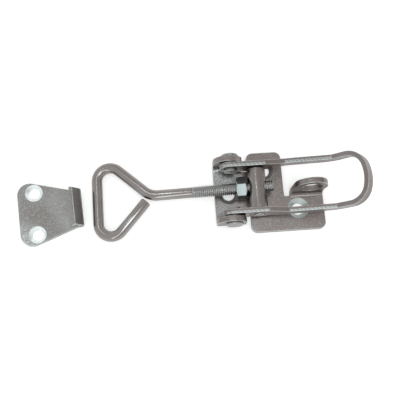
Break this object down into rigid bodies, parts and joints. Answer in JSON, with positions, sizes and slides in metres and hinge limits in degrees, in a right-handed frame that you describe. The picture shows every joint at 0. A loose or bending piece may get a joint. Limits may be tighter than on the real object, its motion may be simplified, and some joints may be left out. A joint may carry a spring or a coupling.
{
  "type": "anti-rattle door fastener",
  "caption": "Over-centre door fastener: folded base with padlock eye, U-shaped hand lever, trunnion barrel, threaded wire claw with lock nut, and a separate lipped keeper.",
  "frame": {"origin": "centre of the base plate's front screw hole, on the mounting face", "axes": "+X from the keeper towards the lever's grip, +Z out of the mounting face, +Y the side of the plate's shorter wing"},
  "size_m": [0.1743, 0.0413, 0.0272],
  "materials": {
    "base_plate": "bright zinc plate over pressed sheet",
    "rivets": "bright zinc plate",
    "lever": "bright zinc plate over bent strip",
    "barrel": "bright zinc plate over turned bar",
    "lock_nut": "bright zinc plate",
    "claw_bolt": "bright zinc plate over drawn wire",
    "keeper": "bright zinc plate over pressed sheet"
  },
  "bodies": {
    "base": {"base_plate": "base_plate", "pivot_rivet_left": "rivets", "pivot_rivet_right": "rivets", "keeper": "keeper"},
    "lever": {"lever": "lever"},
    "barrel": {"barrel": "barrel"},
    "lock_nut": {"lock_nut": "lock_nut"},
    "claw_bolt": {"claw_bolt": "claw_bolt"}
  },
  "joints": [
    {"name": "lever_pivot", "type": "hinge", "parent": "base", "child": "lever", "pos_m": [0.001, 0, 0.0106], "axis": [0, -1, 0], "range_deg": [0, 156]},
    {"name": "barrel_swivel", "type": "hinge", "parent": "lever", "child": "barrel", "pos_m": [0.0137, 0, 0.0096], "axis": [0, -1, 0], "range_deg": [-161, 0]},
    {"name": "claw_reach", "type": "slide", "parent": "barrel", "child": "lock_nut", "axis": [0.9962, 0, 0.0869], "range_m": [-0.003, 0]},
    {"name": "claw_turn", "type": "hinge", "parent": "lock_nut", "child": "claw_bolt", "pos_m": [0.0137, 0.0009, 0.0096], "axis": [0.9962, 0, 0.0869], "range_deg": [-1080, 0]}
  ],
  "couplings": [
    {"joint": "barrel_swivel", "follows": "lever_pivot", "ratio": -1.03},
    {"joint": "claw_reach", "follows": "claw_turn", "m_per_rad": 0.00015915}
  ]
}
